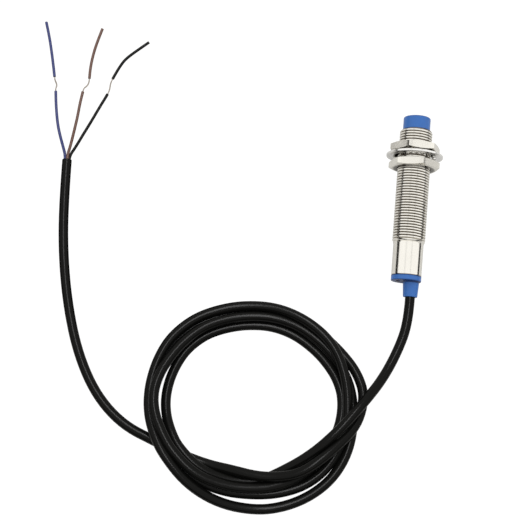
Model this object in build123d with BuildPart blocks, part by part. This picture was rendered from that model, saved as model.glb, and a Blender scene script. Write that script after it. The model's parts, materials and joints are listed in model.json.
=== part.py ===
"""M12 x 1 inductive proximity sensor with two jam nuts, a toothed lock washer and a three-core cable.

The sensor lies on a table at z = 0. Its barrel points along +Y and is propped up at the front
by the lock washer, so the barrel's axis rises by a few degrees. Stations along the axis are
measured from the rear end of the metal barrel, with the sensing face at the front.
"""

from build123d import *
import os
from math import atan, cos, radians, sin, tan

os.makedirs("parts", exist_ok=True)

# Driving dimensions, in millimetres -----------------------------------------------------------
# Barrel
barrel_length = 54.5
barrel_bore_r = 4.75
tail_r = 5.5  # smooth rear stretch, at the thread's root size
tail_length = 12.0
thread_r = 6.0  # M12
thread_pitch = 1.0
thread_root_r = 5.5
thread_crest = 0.56  # flat on top of each ridge
front_chamfer = 0.5
edge_chamfer = 0.3
# Nuts and washer
nut_across_flats = 16.5
nut_thickness = 3.0
nut_chamfer = 0.35
nut_clearance = 0.06
front_nut_station = 46.2
front_nut_turn = 10.0
rear_nut_station = 40.0
rear_nut_turn = -15.6
washer_r = 10.4
washer_ring_width = 2.5
washer_thickness = 0.8
washer_station = 44.5
washer_tooth_count = 16
washer_tooth_width = 1.7
washer_tooth_twist = 24.0
washer_clearance = 0.3
# Blue front cap
cap_r = 5.0
cap_length = 5.0
cap_wall = 0.8
cap_face = 0.7
cap_rim_fillet = 0.35
cap_skirt_length = 6.0
# Blue rear cap with its off-centre neck
flange_r = 5.5
flange_thickness = 2.0
rear_skirt_length = 5.0
rear_skirt_wall = 0.7
neck_offset = 1.9
neck_length = 5.6
neck_root_r = 2.95
neck_tip_r = 2.6
light_hole_offset = -2.9
light_r = 0.95
light_length = 4.9
# Clearances between pieces that stay together
slip = 0.05
hair = 0.02
# Sensing coil in its ferrite cup
ferrite_length = 4.8
ferrite_wall = 0.8
ferrite_back = 1.2
ferrite_post_r = 1.5
bobbin_wall = 0.35
wire_hole_r = 0.35
coil_wire_r = 0.12
coil_lead_offset = 2.4
# Circuit board
board_end_gap = 3.0
board_length = 42.0
board_width = 8.0
board_thickness = 1.0
coil_lead_pad = 1.0
# Resin plug behind the board
plug_station = 5.6
plug_length = 3.2
# Cable and its three cores
cable_r = 1.8
core_r = 0.55
strand_r = 0.225
entry_depth = 0.5
core_pad = 2.0
coil_outer = (39.7, 37.5)
coil_outer_centre = (-50.1, -76.9)
coil_inner = (29.5, 25.0)
coil_inner_centre = (-51.2, -74.5)
coil_height = 10.6

# The frame ------------------------------------------------------------------------------------
# The washer's rim and the rear flange's edge rest on the table, which sets the barrel's tilt.
flange_rest_station = -flange_thickness + edge_chamfer
tilt = atan((washer_r - flange_r) / (washer_station - flange_rest_station))
cap_front = barrel_length + cap_length
board_front = barrel_length - board_end_gap
neck_end = -flange_thickness - neck_length
forward = Vector(0, cos(tilt), sin(tilt))
upward = Vector(0, -sin(tilt), cos(tilt))
front_reach = cap_front * cos(tilt) + (cap_r - cap_rim_fillet) * sin(tilt)
rear_reach = neck_end * cos(tilt) - neck_tip_r * sin(tilt)
barrel_rear = Vector(
    0,
    -(front_reach + rear_reach) / 2,
    flange_r * cos(tilt) - flange_rest_station * sin(tilt),
)
# Across the axis: x is to the right, y is down and z is forward.
AXIS = Plane(origin=barrel_rear, x_dir=(1, 0, 0), z_dir=forward)
# Along the axis, for turned profiles: x is forward and y is the radius.
PROFILE = Plane(origin=barrel_rear, x_dir=forward, z_dir=(1, 0, 0))
TURNING = Axis(barrel_rear, forward)


def place(x, y, station):
    """A point given by its offset right and down from the barrel's axis, and its station."""
    return AXIS.from_local_coords(Vector(x, y, station))


def finish(piece, label):
    """Name a finished piece and write its STEP file."""
    piece.part.label = label
    export_step(piece.part, f"parts/{label}.step")


def turned(label, *outline):
    """A piece turned about the barrel's axis from an outline of (station, radius) points."""
    with BuildPart() as piece:
        with BuildSketch(PROFILE):
            with BuildLine():
                Polyline(*outline, close=True)
            make_face()
        revolve(axis=TURNING)
    finish(piece, label)


# Barrel: nickel-plated brass tube, threaded over most of its length -------------------------------
def thread_outline():
    """Corners of the ridges, from the tail to the front chamfer.

    The ridges under the front nut are left out, because the nut's own thread fills them.
    """
    corners = []
    run_out = barrel_length - front_chamfer
    ridge = tail_length
    flank = (thread_pitch - thread_crest) / 2
    nut_front = front_nut_station + nut_thickness
    while ridge + thread_pitch <= run_out + hair:
        rises, falls = ridge + flank, ridge + thread_pitch - flank
        if falls <= front_nut_station or rises >= nut_front:
            corners += [
                (ridge, thread_root_r),
                (rises, thread_r),
                (falls, thread_r),
                (ridge + thread_pitch, thread_root_r),
            ]
        ridge += thread_pitch
    last = corners[-2][0]
    corners = [c for i, c in enumerate(corners) if i == 0 or c != corners[i - 1]]
    return corners[:-1] + [(max(run_out, last + hair), thread_r)]


with BuildPart() as barrel:
    with BuildSketch(PROFILE):
        with BuildLine():
            Polyline(
                (0, barrel_bore_r),
                (0, tail_r - edge_chamfer),
                (edge_chamfer, tail_r),
                *thread_outline(),
                (barrel_length, thread_r - front_chamfer),
                (barrel_length, barrel_bore_r),
                close=True,
            )
        make_face()
    revolve(axis=TURNING)
finish(barrel, "barrel")

# Front cap: moulded blue cup that covers the sensing coil ----------------------------------------
cap_skirt_r = barrel_bore_r - slip
cap_inner_r = cap_r - cap_wall
with BuildPart() as sensing_cap:
    with BuildSketch(PROFILE):
        with BuildLine():
            Polyline(
                (barrel_length - cap_skirt_length, cap_inner_r),
                (barrel_length - cap_skirt_length, cap_skirt_r),
                (barrel_length, cap_skirt_r),
                (barrel_length, cap_r),
                (cap_front, cap_r),
                (cap_front, 0),
                (cap_front - cap_face, 0),
                (cap_front - cap_face, cap_inner_r),
                close=True,
            )
        make_face()
    revolve(axis=TURNING)
    front_rim = sensing_cap.edges().filter_by(GeomType.CIRCLE).sort_by(TURNING)[-1]
    fillet(front_rim, radius=cap_rim_fillet)
finish(sensing_cap, "sensing_cap")

# Ferrite cup, bobbin and winding of the sensing coil ------------------------------------------------
ferrite_r = cap_inner_r - 2 * slip
ferrite_front = cap_front - cap_face - slip
ferrite_rear = ferrite_front - ferrite_length
with BuildPart() as ferrite_core:
    with BuildSketch(AXIS.offset(ferrite_rear)):
        Circle(ferrite_r)
    extrude(amount=ferrite_length)
    with BuildSketch(AXIS.offset(ferrite_rear + ferrite_back)):
        Circle(ferrite_r - ferrite_wall)
        Circle(ferrite_post_r, mode=Mode.SUBTRACT)
    extrude(amount=ferrite_length, mode=Mode.SUBTRACT)
    with BuildSketch(AXIS.offset(ferrite_rear)):
        with Locations((-coil_lead_offset, -coil_lead_pad), (coil_lead_offset, -coil_lead_pad)):
            Circle(wire_hole_r)
    extrude(amount=ferrite_back, mode=Mode.SUBTRACT)
finish(ferrite_core, "ferrite_core")

bobbin_rear = ferrite_rear + ferrite_back + slip
bobbin_front = ferrite_front - 2 * slip
bobbin_r = ferrite_r - ferrite_wall - slip
hub_inner_r = ferrite_post_r + slip
hub_outer_r = hub_inner_r + bobbin_wall
with BuildPart() as coil_bobbin:
    with BuildSketch(PROFILE):
        with BuildLine():
            Polyline(
                (bobbin_rear, hub_inner_r),
                (bobbin_rear, bobbin_r),
                (bobbin_rear + bobbin_wall, bobbin_r),
                (bobbin_rear + bobbin_wall, hub_outer_r),
                (bobbin_front - bobbin_wall, hub_outer_r),
                (bobbin_front - bobbin_wall, bobbin_r),
                (bobbin_front, bobbin_r),
                (bobbin_front, hub_inner_r),
                close=True,
            )
        make_face()
    revolve(axis=TURNING)
    with BuildSketch(AXIS.offset(bobbin_rear)):
        with Locations((-coil_lead_offset, -coil_lead_pad), (coil_lead_offset, -coil_lead_pad)):
            Circle(wire_hole_r)
    extrude(amount=bobbin_wall, mode=Mode.SUBTRACT)
finish(coil_bobbin, "coil_bobbin")

winding_rear = bobbin_rear + bobbin_wall + hair
turned(
    "coil_winding",
    (winding_rear, hub_outer_r + hair),
    (winding_rear, bobbin_r - slip),
    (bobbin_front - bobbin_wall - hair, bobbin_r - slip),
    (bobbin_front - bobbin_wall - hair, hub_outer_r + hair),
)

# The winding's two ends run back through the ferrite cup and onto the board
lead_rear = board_front - coil_lead_pad
with BuildPart() as coil_leads:
    with BuildSketch(AXIS.offset(lead_rear)):
        with Locations((-coil_lead_offset, -coil_lead_pad), (coil_lead_offset, -coil_lead_pad)):
            Circle(coil_wire_r)
    extrude(amount=winding_rear - lead_rear)
finish(coil_leads, "coil_leads")

# Circuit board and the parts on it --------------------------------------------------------------------
board_rear = board_front - board_length
board_top = -board_thickness / 2
with BuildPart() as circuit_board:
    with BuildSketch(AXIS.offset(board_rear)):
        Rectangle(board_width, board_thickness)
    extrude(amount=board_length)
    # pillars that lift the coil's two wires to the height of the holes in the ferrite cup
    with BuildSketch(AXIS.offset(board_front - coil_lead_pad)):
        pad_height = coil_lead_pad - board_thickness / 2 - coil_wire_r - hair
        for side in (-1, 1):
            with Locations((side * coil_lead_offset, board_top - pad_height / 2)):
                Rectangle(0.8, pad_height)
    extrude(amount=coil_lead_pad)
finish(circuit_board, "circuit_board")


def chip(width, height, station, length, x=0.0, face=-1):
    """A block on the board's top (face -1) or bottom (face 1), its station counted from the board's
    rear end. Used inside BuildPart."""
    middle = face * (board_thickness / 2 + height / 2)
    with BuildSketch(AXIS.offset(board_rear + station)) as outline:
        with Locations((x, middle)):
            Rectangle(width, height)
    extrude(outline.sketch, amount=length)


def chip_leads(span, station, pitch, count, face=-1):
    """Flat leads on both sides of a chip, on the board. Used inside BuildPart."""
    for number in range(count):
        chip(span, 0.25, station + number * pitch, 0.4, face=face)


with BuildPart() as oscillator_chip:
    chip(3.9, 1.4, 24.5, 4.9)
    chip_leads(6.0, 24.85, 1.27, 4)
finish(oscillator_chip, "oscillator_chip")

with BuildPart() as output_transistor:
    chip(4.4, 1.5, 8.0, 2.6)
    chip(1.7, 0.4, 7.2, 4.4)
finish(output_transistor, "output_transistor")

with BuildPart() as voltage_regulator:
    chip(1.4, 1.0, 13.9, 2.9, x=1.6)
    chip_leads(2.8, 14.3, 1.9, 2)
finish(voltage_regulator, "voltage_regulator")

with BuildPart() as protection_diode:
    chip(1.6, 1.1, 18.5, 2.7, x=-2.2)
finish(protection_diode, "protection_diode")

with BuildPart() as resistors:
    for number in range(4):
        chip(0.8, 0.45, 31.5 + 2.2 * number, 1.6, x=-2.4)
        chip(0.8, 0.45, 5.5 + 2.6 * number, 1.6, x=-2.2, face=1)
finish(resistors, "resistors")

with BuildPart() as capacitors:
    for number in range(3):
        chip(1.25, 1.1, 31.3 + 3.0 * number, 2.0, x=2.2)
        chip(1.25, 1.1, 16.5 + 3.4 * number, 2.0, x=1.8, face=1)
finish(capacitors, "capacitors")

# Rear cap: blue flange, skirt and off-centre neck in one moulding ----------------------------------------
rear_skirt_r = barrel_bore_r - slip
cable_bore_r = cable_r
with BuildPart() as end_cap:
    with BuildSketch(PROFILE):
        with BuildLine():
            Polyline(
                (-flange_thickness, 0),
                (-flange_thickness, flange_r - edge_chamfer),
                (flange_rest_station, flange_r),
                (0, flange_r),
                (0, rear_skirt_r),
                (rear_skirt_length, rear_skirt_r),
                (rear_skirt_length, rear_skirt_r - rear_skirt_wall),
                (0, rear_skirt_r - rear_skirt_wall),
                (0, 0),
                close=True,
            )
        make_face()
    revolve(axis=TURNING)
    with BuildSketch(AXIS.offset(-flange_thickness)):
        with Locations((neck_offset, 0)):
            Circle(neck_root_r)
    with BuildSketch(AXIS.offset(neck_end)):
        with Locations((neck_offset, 0)):
            Circle(neck_tip_r)
    loft()
    neck_tip = end_cap.edges().filter_by(GeomType.CIRCLE).sort_by(TURNING)[0]
    fillet(neck_tip, radius=edge_chamfer)
    with BuildSketch(AXIS.offset(neck_end)):
        with Locations((neck_offset, 0)):
            Circle(cable_bore_r)
    extrude(amount=-neck_end, mode=Mode.SUBTRACT)
    with BuildSketch(AXIS.offset(-flange_thickness)):
        with Locations((light_hole_offset, 0)):
            Circle(light_r + slip)
    extrude(amount=flange_thickness, mode=Mode.SUBTRACT)
finish(end_cap, "end_cap")

# Indicator light: its dome shows in the flange, beside the neck --------------------------------------------
light_tip = -flange_thickness + hair
with BuildPart() as indicator_light:
    with BuildSketch(AXIS.offset(light_tip)):
        with Locations((light_hole_offset, 0)):
            Circle(light_r)
    extrude(amount=light_length)
    dome = indicator_light.edges().filter_by(GeomType.CIRCLE).sort_by(TURNING)[0]
    fillet(dome, radius=light_r * 0.6)
finish(indicator_light, "indicator_light")

light_rear = light_tip + light_length
leg_r = 0.2
leg_drop = board_thickness / 2 + leg_r + hair
leg_spread = 0.5
leg_landing = 2.0
with BuildPart() as light_legs:
    with BuildSketch(AXIS.offset(light_rear)):
        for side in (-1, 1):
            with Locations((light_hole_offset + side * leg_spread, leg_drop)):
                Circle(leg_r)
    extrude(amount=board_rear + leg_landing - light_rear)
finish(light_legs, "light_legs")

# Cable inside the neck, and its three cores soldered to the board ---------------------------------------------
with BuildPart() as cable_entry:
    with BuildSketch(AXIS.offset(neck_end)):
        with Locations((neck_offset, 0)):
            Circle(cable_bore_r - slip)
    extrude(amount=entry_depth - neck_end)
finish(cable_entry, "cable_entry")


def route_radii(points):
    """The largest arc that each corner of a route allows, and the route's tightest one."""
    radii = []
    for before, corner, after in zip(points, points[1:], points[2:]):
        into, out = Vector(corner) - Vector(before), Vector(after) - Vector(corner)
        half_turn = radians(into.get_angle(out)) / 2
        radii.append(0.45 * min(into.length, out.length) / tan(half_turn))
    return radii


def laid(label, radius, *points):
    """A round cord or wire laid along a route of straight runs joined by arcs."""
    radii = route_radii(points)
    with BuildPart() as piece:
        with BuildLine() as route:
            FilletPolyline(*points, radius=radii)
        path = route.wire()
        with BuildSketch(Plane(origin=path @ 0, z_dir=path % 0)):
            Circle(radius)
        sweep(path=path)
    finish(piece, label)
    expected = 3.14159265 * radius**2 * path.length
    arcs = " ".join(f"{r:.1f}" for r in radii)
    share = piece.part.volume / expected
    print(f"{label}: length {path.length:.1f}, volume share {share:.4f}, arcs {arcs}")


core_drop = -(board_thickness / 2 + core_r + hair)
core_names = ("brown", "black", "blue")
core_entries = ((-0.75, 0.5), (0.75, 0.5), (0.0, -0.85))
core_pads = (-1.4, 2.2, 0.4)
for name, entry, pad in zip(core_names, core_entries, core_pads):
    start_x, start_y = neck_offset + entry[0], entry[1]
    laid(
        f"{name}_core_end",
        core_r,
        place(start_x, start_y, entry_depth),
        place(start_x, start_y, entry_depth + 1.0),
        place(pad, core_drop, plug_station - 1.4),
        place(pad, core_drop, board_rear + core_pad),
    )

# Resin plug that seals the barrel's rear end around the cores
with BuildPart() as resin_plug:
    with BuildSketch(AXIS.offset(plug_station)):
        Circle(barrel_bore_r - slip)
        for pad in core_pads:
            with Locations((pad, core_drop)):
                Circle(core_r + hair, mode=Mode.SUBTRACT)
        for side in (-1, 1):
            with Locations((light_hole_offset + side * leg_spread, leg_drop)):
                Circle(leg_r + hair, mode=Mode.SUBTRACT)
    extrude(amount=plug_length)
finish(resin_plug, "resin_plug")

# Jam nuts: thin hexagon nuts with chamfered corners -------------------------------------------------------------
nut_corner_r = nut_across_flats / 2 / cos(radians(30))
nut_bore_r = thread_r + nut_clearance
corner_drop = 0.5


def jam_nut(label, station, turn):
    """A thin hexagon nut around the barrel, with a corner turned down from level by an angle."""
    top = station + nut_thickness
    with BuildPart() as nut:
        with BuildSketch(AXIS.offset(station)):
            RegularPolygon(nut_across_flats / 2, 6, major_radius=False, rotation=turn)
        extrude(amount=nut_thickness)
        with BuildSketch(PROFILE):
            with BuildLine():
                Polyline(
                    (station, 0),
                    (station, nut_across_flats / 2 - nut_chamfer),
                    (station + corner_drop, nut_corner_r),
                    (top - corner_drop, nut_corner_r),
                    (top, nut_across_flats / 2 - nut_chamfer),
                    (top, 0),
                    close=True,
                )
            make_face()
        revolve(axis=TURNING, mode=Mode.INTERSECT)
        with BuildSketch(AXIS.offset(station)):
            Circle(nut_bore_r)
        extrude(amount=nut_thickness, mode=Mode.SUBTRACT)
        bore_edges = nut.edges().filter_by(GeomType.CIRCLE)
        mouths = bore_edges.filter_by(lambda edge: abs(edge.radius - nut_bore_r) < hair)
        chamfer(mouths, length=nut_chamfer)
    finish(nut, label)


jam_nut("front_nut", front_nut_station, front_nut_turn)
jam_nut("rear_nut", rear_nut_station, rear_nut_turn)

# Lock washer: spring-steel ring with twisted teeth on its inside -----------------------------------------------
washer_ring_r = washer_r - washer_ring_width
tooth_tip_r = thread_r + washer_clearance
tooth_root = 0.5
with BuildPart() as lock_washer:
    with BuildSketch(AXIS.offset(washer_station)):
        Circle(washer_r)
        Circle(washer_ring_r, mode=Mode.SUBTRACT)
    extrude(amount=washer_thickness)
    middle = AXIS.offset(washer_station + washer_thickness / 2)
    for number in range(washer_tooth_count):
        angle = radians(360 / washer_tooth_count * number)
        outwards = AXIS.x_dir * cos(angle) + AXIS.y_dir * sin(angle)
        twist = radians(washer_tooth_twist)
        twisted = AXIS.z_dir * cos(twist) + AXIS.z_dir.cross(outwards) * sin(twist)
        tooth_length = washer_ring_r + tooth_root - tooth_tip_r
        tooth_middle = middle.origin + outwards * (tooth_tip_r + tooth_length / 2)
        with BuildSketch(Plane(origin=tooth_middle, x_dir=outwards, z_dir=twisted)):
            Rectangle(tooth_length, washer_tooth_width)
        extrude(amount=washer_thickness / 2, both=True)
finish(lock_washer, "lock_washer")

# The cable: out of the neck, into a loose coil, and out again to the fanned cores --------------------------------
neck_exit = place(neck_offset, 0, neck_end)
first_run = 9.5
laid(
    "cable_lead",
    cable_r,
    neck_exit,
    neck_exit - forward * first_run,
    (-1.2, -52.6, 2.0),
    (-6.1, -63.3, 3.4),
    (-12.6, -73.0, 8.0),
)
with BuildPart() as cable_coil:
    with BuildSketch(Plane.XY):
        with Locations(coil_outer_centre):
            Ellipse(*coil_outer)
        with Locations(coil_inner_centre):
            Ellipse(*coil_inner, mode=Mode.SUBTRACT)
    extrude(amount=coil_height)
finish(cable_coil, "cable_coil")
jacket_end = Vector(-129.9, 9.8, cable_r)
last_corner = Vector(-128.7, -9.5, cable_r)
laid(
    "cable_tail",
    cable_r,
    (-84.5, -92.3, cable_r),
    (-97.0, -87.4, cable_r),
    (-107.8, -77.6, cable_r),
    (-116.0, -63.5, cable_r),
    (-121.8, -47.0, cable_r),
    (-126.0, -29.0, cable_r),
    last_corner,
    jacket_end,
)
jacket_way = (jacket_end - last_corner).normalized()


def from_jacket(across, rise, run=0.0):
    """A point level with the jacket's cut end, or a run beyond it."""
    side = jacket_way.cross(Vector(0, 0, 1))
    return jacket_end + side * across + Vector(0, 0, rise) + jacket_way * run


# Each core: insulation, a bare stretch of strands, and the slug of insulation pulled to its tip --------------
laid(
    "blue_core",
    core_r,
    from_jacket(-0.85, -0.35),
    from_jacket(-0.85, -0.35, 2.0),
    (-131.5, 15.2, 1.0),
    (-134.1, 21.2, core_r),
    (-136.3, 27.5, core_r),
    (-137.8, 33.5, core_r),
    (-138.3, 38.0, core_r),
)
laid(
    "blue_strands",
    strand_r,
    (-138.3, 38.0, core_r),
    (-138.5, 39.8, core_r),
    (-139.2, 41.8, core_r),
    (-139.6, 43.6, core_r),
)
laid(
    "blue_slug",
    core_r,
    (-139.6, 43.6, core_r),
    (-140.8, 49.0, core_r),
    (-142.3, 54.8, core_r),
    (-144.0, 60.8, core_r),
    (-145.9, 66.4, core_r),
)
laid(
    "brown_core",
    core_r,
    from_jacket(0.25, 0.85),
    from_jacket(0.25, 0.85, 2.0),
    (-129.35, 15.3, 2.0),
    (-129.0, 21.5, 0.9),
    (-128.5, 28.0, core_r),
    (-128.3, 33.5, core_r),
    (-127.8, 38.5, core_r),
)
laid(
    "brown_strands",
    strand_r,
    (-127.8, 38.5, core_r),
    (-127.66, 39.9, core_r),
    (-126.3, 41.2, core_r),
    (-125.95, 42.75, core_r),
    (-126.0, 44.0, core_r),
)
laid(
    "brown_slug",
    core_r,
    (-126.0, 44.0, core_r),
    (-126.2, 49.0, core_r),
    (-125.8, 54.5, core_r),
    (-124.9, 60.0, core_r),
    (-123.6, 65.5, core_r),
)
laid(
    "black_core",
    core_r,
    from_jacket(0.75, -0.6),
    from_jacket(0.75, -0.6, 2.0),
    (-127.7, 15.2, 0.8),
    (-125.5, 20.8, core_r),
    (-123.0, 26.6, core_r),
    (-120.6, 32.6, core_r),
    (-118.2, 38.2, core_r),
)
laid(
    "black_strands",
    strand_r,
    (-118.2, 38.2, core_r),
    (-117.46, 39.93, core_r),
    (-117.8, 43.09, core_r),
    (-117.2, 44.5, core_r),
)
laid(
    "black_slug",
    core_r,
    (-117.2, 44.5, core_r),
    (-115.2, 49.2, core_r),
    (-112.6, 53.6, core_r),
    (-109.0, 57.6, core_r),
    (-104.8, 61.5, core_r),
)
print(f"tilt {tilt * 57.2958:.3f} degrees, barrel's rear end at {barrel_rear}")
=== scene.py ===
"""Inductive proximity sensor: threaded barrel, jam nuts, lock washer, blue caps, coiled cable."""

import json
from math import cos, pi, radians, sin, tan

import bmesh
import bpy
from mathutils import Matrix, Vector

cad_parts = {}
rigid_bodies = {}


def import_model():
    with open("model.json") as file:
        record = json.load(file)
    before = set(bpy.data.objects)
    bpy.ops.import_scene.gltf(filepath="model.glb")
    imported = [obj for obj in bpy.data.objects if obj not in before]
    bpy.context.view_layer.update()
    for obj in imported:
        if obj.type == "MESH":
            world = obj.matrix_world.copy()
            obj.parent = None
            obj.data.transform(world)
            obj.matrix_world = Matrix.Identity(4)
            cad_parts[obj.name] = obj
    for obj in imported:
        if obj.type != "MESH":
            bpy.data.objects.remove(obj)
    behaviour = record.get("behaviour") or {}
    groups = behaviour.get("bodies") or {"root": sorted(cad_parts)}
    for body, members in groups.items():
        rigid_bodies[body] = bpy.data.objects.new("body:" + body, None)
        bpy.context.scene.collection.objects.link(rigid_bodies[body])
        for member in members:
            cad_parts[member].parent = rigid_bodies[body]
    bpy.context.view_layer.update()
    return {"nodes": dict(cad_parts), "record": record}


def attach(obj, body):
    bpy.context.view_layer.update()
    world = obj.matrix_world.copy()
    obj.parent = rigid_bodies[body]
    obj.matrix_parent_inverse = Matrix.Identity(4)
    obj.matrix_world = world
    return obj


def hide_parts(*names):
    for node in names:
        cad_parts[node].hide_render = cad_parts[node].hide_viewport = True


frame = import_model()

# ---------------------------------------------------------------------------------------------
# The barrel's axis. Everything that is turned or screwed sits on one line, which rises towards
# the front because the lock washer props the barrel up. Stations run forward along that line
# from the barrel's rear end, and the sizes of turned pieces are in millimetres until on_axis
# puts them in the frame.
# ---------------------------------------------------------------------------------------------
MM = 0.001
MOUNT_STATION = 51.6
mounts = {mount["name"]: mount for mount in frame["record"]["mounts"]}
FORWARD = Vector(mounts["barrel_thread"]["axis"]).normalized()
ACROSS = Vector((1, 0, 0))
UPWARD = ACROSS.cross(FORWARD)
AXIS_START = Vector(mounts["barrel_thread"]["pos_m"]) - FORWARD * MOUNT_STATION * MM


def on_axis(station, radius, angle):
    """The point at a station and radius. The angle is from +X, anticlockwise seen from behind."""
    outwards = ACROSS * cos(angle) + UPWARD * sin(angle)
    return AXIS_START + FORWARD * station * MM + outwards * radius * MM


# ---------------------------------------------------------------------------------------------
# Finishes shared by every piece. Plated metal and moulded plastic alike vary slightly in tone
# and gloss over their surface, and machined metal also keeps fine lines from its cutting tool.
# ---------------------------------------------------------------------------------------------
def effect_group(name, inputs, outputs):
    """A shader node group with named inputs and outputs, and its two end nodes."""
    tree = bpy.data.node_groups.new(name, "ShaderNodeTree")
    for label, kind, value in inputs:
        socket = tree.interface.new_socket(label, in_out="INPUT", socket_type=kind)
        if value is not None:
            socket.default_value = value
    for label, kind in outputs:
        tree.interface.new_socket(label, in_out="OUTPUT", socket_type=kind)
    return tree, tree.nodes.new("NodeGroupInput"), tree.nodes.new("NodeGroupOutput")


def add_node(tree, kind, values=(), **settings):
    """A node with its settings, and with values or links for its inputs."""
    node = tree.nodes.new(kind)
    for key, value in settings.items():
        setattr(node, key, value)
    for key, value in dict(values).items():
        if isinstance(value, bpy.types.NodeSocket):
            tree.links.new(value, node.inputs[key])
        else:
            node.inputs[key].default_value = value
    return node


FLOAT, COLOUR, VECTOR = "NodeSocketFloat", "NodeSocketColor", "NodeSocketVector"

# Uneven tone: two sizes of soft blotches shift the colour and the gloss
uneven, given, result = effect_group(
    "Uneven tone",
    (
        ("Place", VECTOR, None),
        ("Colour", COLOUR, (0.8, 0.8, 0.8, 1)),
        ("Second colour", COLOUR, (0.7, 0.7, 0.7, 1)),
        ("Blotch scale", FLOAT, 200.0),
        ("Grain scale", FLOAT, 3000.0),
        ("Roughness", FLOAT, 0.4),
        ("Roughness spread", FLOAT, 0.1),
    ),
    (("Colour", COLOUR), ("Roughness", FLOAT), ("Grain", FLOAT)),
)
blotches = add_node(
    uneven,
    "ShaderNodeTexNoise",
    {"Vector": given.outputs["Place"], "Scale": given.outputs["Blotch scale"], "Detail": 3.0},
)
grain = add_node(
    uneven,
    "ShaderNodeTexNoise",
    {"Vector": given.outputs["Place"], "Scale": given.outputs["Grain scale"], "Detail": 2.0},
)
tones = add_node(
    uneven,
    "ShaderNodeMixRGB",
    {0: blotches.outputs["Fac"], 1: given.outputs["Colour"], 2: given.outputs["Second colour"]},
)
centred = add_node(
    uneven, "ShaderNodeMath", {0: blotches.outputs["Fac"], 1: 0.5}, operation="SUBTRACT"
)
spread = add_node(
    uneven,
    "ShaderNodeMath",
    {0: centred.outputs[0], 1: given.outputs["Roughness spread"], 2: given.outputs["Roughness"]},
    operation="MULTIPLY_ADD",
)
uneven.links.new(tones.outputs[0], result.inputs["Colour"])
uneven.links.new(spread.outputs[0], result.inputs["Roughness"])
uneven.links.new(grain.outputs["Fac"], result.inputs["Grain"])

# Turning lines: fine rings round the barrel's axis, left by the lathe
turning, given, result = effect_group(
    "Turning lines",
    (("Place", VECTOR, None), ("Lines per metre", FLOAT, 9000.0)),
    (("Lines", FLOAT),),
)
along = add_node(
    turning,
    "ShaderNodeVectorMath",
    {0: given.outputs["Place"], 1: tuple(FORWARD)},
    operation="DOT_PRODUCT",
)
counted = add_node(
    turning,
    "ShaderNodeMath",
    {0: along.outputs["Value"], 1: given.outputs["Lines per metre"]},
    operation="MULTIPLY",
)
rings = add_node(
    turning,
    "ShaderNodeTexNoise",
    {"W": counted.outputs[0], "Scale": 1.0, "Detail": 2.0},
    noise_dimensions="1D",
)
turning.links.new(rings.outputs["Fac"], result.inputs["Lines"])

SHADE_STARTS, SHADE_FULL = 0.0126, 0.0142  # the stations between which the thread's shade sets in


def from_axis_start(tree, place):
    """Nodes for a place measured from the axis's start, and for its station along the axis."""
    offset = add_node(
        tree, "ShaderNodeVectorMath", {0: place, 1: tuple(AXIS_START)}, operation="SUBTRACT"
    )
    station = add_node(
        tree,
        "ShaderNodeVectorMath",
        {0: offset.outputs[0], 1: tuple(FORWARD)},
        operation="DOT_PRODUCT",
    )
    return offset.outputs[0], station.outputs["Value"]


# Groove shade: painted shade in whatever lies deeper than a radius from the barrel's axis
grooved, given, result = effect_group(
    "Groove shade",
    (("Place", VECTOR, None), ("Deep radius", FLOAT, 0.0055), ("Open radius", FLOAT, 0.0059)),
    (("Shade", FLOAT),),
)
offset, station = from_axis_start(grooved, given.outputs["Place"])
off_axis = add_node(
    grooved,
    "ShaderNodeVectorMath",
    {0: offset, 1: tuple(FORWARD)},
    operation="CROSS_PRODUCT",
)
radius = add_node(grooved, "ShaderNodeVectorMath", {0: off_axis.outputs[0]}, operation="LENGTH")
shade = add_node(
    grooved,
    "ShaderNodeMapRange",
    {
        "Value": radius.outputs["Value"],
        "From Min": given.outputs["Deep radius"],
        "From Max": given.outputs["Open radius"],
        "To Min": 1.0,
        "To Max": 0.0,
    },
)
threaded = add_node(
    grooved,
    "ShaderNodeMapRange",
    {"Value": station, "From Min": SHADE_STARTS, "From Max": SHADE_FULL},
)
shaded = add_node(
    grooved, "ShaderNodeMath", {0: shade.outputs[0], 1: threaded.outputs[0]}, operation="MULTIPLY"
)
grooved.links.new(shaded.outputs[0], result.inputs["Shade"])

# Seam shade: a dark line of painted shade round the axis at a station, where two pieces meet
seam_shade, given, result = effect_group(
    "Seam shade",
    (("Place", VECTOR, None), ("Station", FLOAT, 0.0), ("Half width", FLOAT, 0.0003)),
    (("Shade", FLOAT),),
)
_, station = from_axis_start(seam_shade, given.outputs["Place"])
beyond = add_node(
    seam_shade, "ShaderNodeMath", {0: station, 1: given.outputs["Station"]}, operation="SUBTRACT"
)
distance = add_node(seam_shade, "ShaderNodeMath", {0: beyond.outputs[0]}, operation="ABSOLUTE")
shade = add_node(
    seam_shade,
    "ShaderNodeMapRange",
    {
        "Value": distance.outputs[0],
        "From Max": given.outputs["Half width"],
        "To Min": 1.0,
        "To Max": 0.0,
    },
)
seam_shade.links.new(shade.outputs[0], result.inputs["Shade"])


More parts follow.
